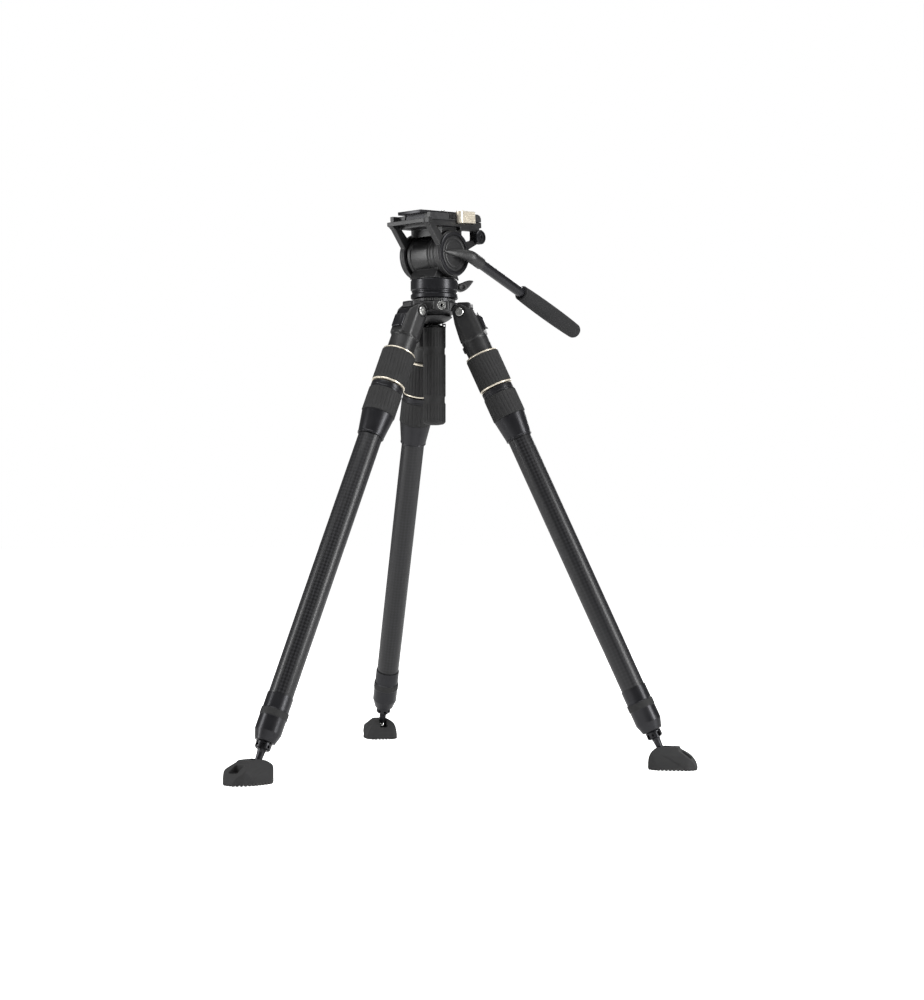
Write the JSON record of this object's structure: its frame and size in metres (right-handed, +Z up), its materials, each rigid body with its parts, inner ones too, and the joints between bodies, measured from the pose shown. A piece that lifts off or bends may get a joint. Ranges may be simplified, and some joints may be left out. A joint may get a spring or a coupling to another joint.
{
  "type": "video tripod with fluid head",
  "caption": "Video tripod with inverted telescopic carbon legs, levelling bowl and a pan-and-tilt fluid head with a sliding camera plate, release lever and pan bar.",
  "frame": {"origin": "on the ground, in the middle of the box round the whole stand with its legs spread", "axes": "+Z up, -Y towards leg A, which the camera faces; the pan bar points to +Y"},
  "size_m": [0.7876, 0.7766, 0.9425],
  "materials": {
    "cast_aluminium": "satin black powder coat, fine cast texture",
    "black_anodised_aluminium": "satin black anodised, turned and milled aluminium",
    "carbon_fibre": "clear-coated carbon fibre, diamond twill weave",
    "champagne_aluminium": "champagne anodised, satin",
    "stainless_steel": "bright stainless steel",
    "ribbed_rubber": "matt black rubber with lengthwise ribs",
    "foot_rubber": "matt dark grey rubber",
    "foam_rubber": "matt dense foam rubber"
  },
  "bodies": {
    "spider": {"spider": "cast_aluminium", "port_bush": "stainless_steel"},
    "leg_a_upper": {"leg_a_shoulder": "cast_aluminium", "leg_a_hinge_pin": "stainless_steel", "leg_a_upper_tube": "carbon_fibre"},
    "leg_a_stop": {"leg_a_angle_stop": "black_anodised_aluminium"},
    "leg_a_middle": {"leg_a_middle_tube": "carbon_fibre"},
    "leg_a_upper_twist": {"leg_a_upper_lock": "champagne_aluminium", "leg_a_upper_lock_grip": "ribbed_rubber"},
    "leg_a_lower": {"leg_a_lower_tube": "carbon_fibre", "leg_a_foot_cup": "cast_aluminium", "leg_a_foot_stem": "black_anodised_aluminium"},
    "leg_a_lower_twist": {"leg_a_lower_lock": "black_anodised_aluminium", "leg_a_lower_lock_grip": "ribbed_rubber"},
    "leg_a_foot": {"leg_a_foot_pad": "foot_rubber"},
    "leg_b_upper": {"leg_b_shoulder": "cast_aluminium", "leg_b_hinge_pin": "stainless_steel", "leg_b_upper_tube": "carbon_fibre"},
    "leg_b_stop": {"leg_b_angle_stop": "black_anodised_aluminium"},
    "leg_b_middle": {"leg_b_middle_tube": "carbon_fibre"},
    "leg_b_upper_twist": {"leg_b_upper_lock": "champagne_aluminium", "leg_b_upper_lock_grip": "ribbed_rubber"},
    "leg_b_lower": {"leg_b_lower_tube": "carbon_fibre", "leg_b_foot_cup": "cast_aluminium", "leg_b_foot_stem": "black_anodised_aluminium"},
    "leg_b_lower_twist": {"leg_b_lower_lock": "black_anodised_aluminium", "leg_b_lower_lock_grip": "ribbed_rubber"},
    "leg_b_foot": {"leg_b_foot_pad": "foot_rubber"},
    "leg_c_upper": {"leg_c_shoulder": "cast_aluminium", "leg_c_hinge_pin": "stainless_steel", "leg_c_upper_tube": "carbon_fibre"},
    "leg_c_stop": {"leg_c_angle_stop": "black_anodised_aluminium"},
    "leg_c_middle": {"leg_c_middle_tube": "carbon_fibre"},
    "leg_c_upper_twist": {"leg_c_upper_lock": "champagne_aluminium", "leg_c_upper_lock_grip": "ribbed_rubber"},
    "leg_c_lower": {"leg_c_lower_tube": "carbon_fibre", "leg_c_foot_cup": "cast_aluminium", "leg_c_foot_stem": "black_anodised_aluminium"},
    "leg_c_lower_twist": {"leg_c_lower_lock": "black_anodised_aluminium", "leg_c_lower_lock_grip": "ribbed_rubber"},
    "leg_c_foot": {"leg_c_foot_pad": "foot_rubber"},
    "bowl_ball": {"half_ball": "black_anodised_aluminium", "levelling_stud": "stainless_steel", "level_cup": "cast_aluminium", "base_ring": "black_anodised_aluminium"},
    "levelling_handle": {"levelling_grip": "ribbed_rubber"},
    "pan_unit": {"pan_drum": "black_anodised_aluminium", "tilt_housing": "cast_aluminium"},
    "pan_lock": {"pan_lock_lever": "cast_aluminium"},
    "cradle": {"cradle": "cast_aluminium", "tilt_cap_right": "black_anodised_aluminium", "tilt_cap_left": "black_anodised_aluminium", "receiver": "cast_aluminium"},
    "tilt_lock": {"tilt_lock_knob": "cast_aluminium"},
    "plate": {"camera_plate": "black_anodised_aluminium"},
    "screw": {"camera_screw": "stainless_steel"},
    "plate_lever": {"release_lever": "champagne_aluminium"},
    "pan_handle": {"pan_arm": "cast_aluminium", "pan_bar": "black_anodised_aluminium", "pan_grip": "foam_rubber"}
  },
  "joints": [
    {"name": "leg_a_fold", "type": "hinge", "parent": "spider", "child": "leg_a_upper", "pos_m": [0, 0.01008, 0.76276], "axis": [-1, 0, 0], "range_deg": [-24.86, 0]},
    {"name": "leg_a_stop_pull", "type": "slide", "parent": "leg_a_upper", "child": "leg_a_stop", "axis": [0, -1, 0], "range_m": [0, 0.009]},
    {"name": "leg_a_middle_slide", "type": "slide", "parent": "leg_a_upper", "child": "leg_a_middle", "axis": [0, -0.4204, -0.9073], "range_m": [0, 0.45]},
    {"name": "leg_a_upper_lock_turn", "type": "hinge", "parent": "leg_a_middle", "child": "leg_a_upper_twist", "pos_m": [0, -0.03616, 0.66295], "axis": [0, -0.4204, -0.9073], "range_deg": [0, 90]},
    {"name": "leg_a_lower_slide", "type": "slide", "parent": "leg_a_middle", "child": "leg_a_lower", "axis": [0, -0.4204, -0.9073], "range_m": [0, 0.45]},
    {"name": "leg_a_lower_lock_turn", "type": "hinge", "parent": "leg_a_lower", "child": "leg_a_lower_twist", "pos_m": [0, -0.06979, 0.59036], "axis": [0, -0.4204, -0.9073], "range_deg": [0, 90]},
    {"name": "leg_a_foot_tilt", "type": "hinge", "parent": "leg_a_lower", "child": "leg_a_foot", "pos_m": [0, -0.33128, 0.026], "axis": [1, 0, 0], "range_deg": [-25, 20]},
    {"name": "leg_b_fold", "type": "hinge", "parent": "spider", "child": "leg_b_upper", "pos_m": [0.04278, 0.08418, 0.76276], "axis": [0.5, -0.866, 0], "range_deg": [-24.86, 0]},
    {"name": "leg_b_stop_pull", "type": "slide", "parent": "leg_b_upper", "child": "leg_b_stop", "axis": [0.866, 0.5, 0], "range_m": [0, 0.009]},
    {"name": "leg_b_middle_slide", "type": "slide", "parent": "leg_b_upper", "child": "leg_b_middle", "axis": [0.3641, 0.2102, -0.9073], "range_m": [0, 0.45]},
    {"name": "leg_b_upper_lock_turn", "type": "hinge", "parent": "leg_b_middle", "child": "leg_b_upper_twist", "pos_m": [0.08283, 0.10731, 0.66295], "axis": [0.3641, 0.2102, -0.9073], "range_deg": [0, 90]},
    {"name": "leg_b_lower_slide", "type": "slide", "parent": "leg_b_middle", "child": "leg_b_lower", "axis": [0.3641, 0.2102, -0.9073], "range_m": [0, 0.45]},
    {"name": "leg_b_lower_lock_turn", "type": "hinge", "parent": "leg_b_lower", "child": "leg_b_lower_twist", "pos_m": [0.11196, 0.12412, 0.59036], "axis": [0.3641, 0.2102, -0.9073], "range_deg": [0, 90]},
    {"name": "leg_b_foot_tilt", "type": "hinge", "parent": "leg_b_lower", "child": "leg_b_foot", "pos_m": [0.33841, 0.25487, 0.026], "axis": [-0.5, 0.866, 0], "range_deg": [-25, 20]},
    {"name": "leg_c_fold", "type": "hinge", "parent": "spider", "child": "leg_c_upper", "pos_m": [-0.04278, 0.08418, 0.76276], "axis": [0.5, 0.866, 0], "range_deg": [-24.86, 0]},
    {"name": "leg_c_stop_pull", "type": "slide", "parent": "leg_c_upper", "child": "leg_c_stop", "axis": [-0.866, 0.5, 0], "range_m": [0, 0.009]},
    {"name": "leg_c_middle_slide", "type": "slide", "parent": "leg_c_upper", "child": "leg_c_middle", "axis": [-0.3641, 0.2102, -0.9073], "range_m": [0, 0.45]},
    {"name": "leg_c_upper_lock_turn", "type": "hinge", "parent": "leg_c_middle", "child": "leg_c_upper_twist", "pos_m": [-0.08283, 0.10731, 0.66295], "axis": [-0.3641, 0.2102, -0.9073], "range_deg": [0, 90]},
    {"name": "leg_c_lower_slide", "type": "slide", "parent": "leg_c_middle", "child": "leg_c_lower", "axis": [-0.3641, 0.2102, -0.9073], "range_m": [0, 0.45]},
    {"name": "leg_c_lower_lock_turn", "type": "hinge", "parent": "leg_c_lower", "child": "leg_c_lower_twist", "pos_m": [-0.11196, 0.12412, 0.59036], "axis": [-0.3641, 0.2102, -0.9073], "range_deg": [0, 90]},
    {"name": "leg_c_foot_tilt", "type": "hinge", "parent": "leg_c_lower", "child": "leg_c_foot", "pos_m": [-0.33841, 0.25487, 0.026], "axis": [-0.5, -0.866, 0], "range_deg": [-25, 20]},
    {"name": "bowl_level", "type": "hinge", "parent": "spider", "child": "bowl_ball", "pos_m": [0, 0.05948, 0.78676], "axis": [1, 0, 0], "range_deg": [0, 8]},
    {"name": "handle_turn", "type": "hinge", "parent": "bowl_ball", "child": "levelling_handle", "pos_m": [0, 0.05948, 0.68676], "axis": [0, 0, 1], "range_deg": [0, 180]},
    {"name": "pan", "type": "hinge", "parent": "bowl_ball", "child": "pan_unit", "pos_m": [0, 0.05948, 0.79906], "axis": [0, 0, 1], "continuous": true},
    {"name": "pan_lock_turn", "type": "hinge", "parent": "pan_unit", "child": "pan_lock", "pos_m": [0.0223, 0.10233, 0.80956], "axis": [0.887, -0.4617, 0], "range_deg": [0, 45]},
    {"name": "tilt", "type": "hinge", "parent": "pan_unit", "child": "cradle", "pos_m": [0, 0.05948, 0.86206], "axis": [-0.9969, -0.0785, 0], "range_deg": [-75, 30]},
    {"name": "tilt_lock_turn", "type": "hinge", "parent": "cradle", "child": "tilt_lock", "pos_m": [0.04297, 0.12534, 0.89599], "axis": [0.9969, 0.0785, 0], "range_deg": [0, 120]},
    {"name": "plate_slide", "type": "slide", "parent": "cradle", "child": "plate", "axis": [0.0783, -0.9945, -0.0698], "range_m": [-0.012, 0.06]},
    {"name": "camera_screw_turn", "type": "hinge", "parent": "plate", "child": "screw", "pos_m": [-0.00181, 0.08246, 0.93384], "axis": [0.0055, -0.0695, 0.9976], "continuous": true},
    {"name": "plate_lever_swing", "type": "hinge", "parent": "cradle", "child": "plate_lever", "pos_m": [0.04673, 0.07497, 0.92303], "axis": [-0.0055, 0.0695, -0.9976], "range_deg": [0, 50]},
    {"name": "pan_handle_angle", "type": "hinge", "parent": "cradle", "child": "pan_handle", "pos_m": [0, 0.05948, 0.86206], "axis": [0.9969, 0.0785, 0], "range_deg": [-28, 20]}
  ]
}
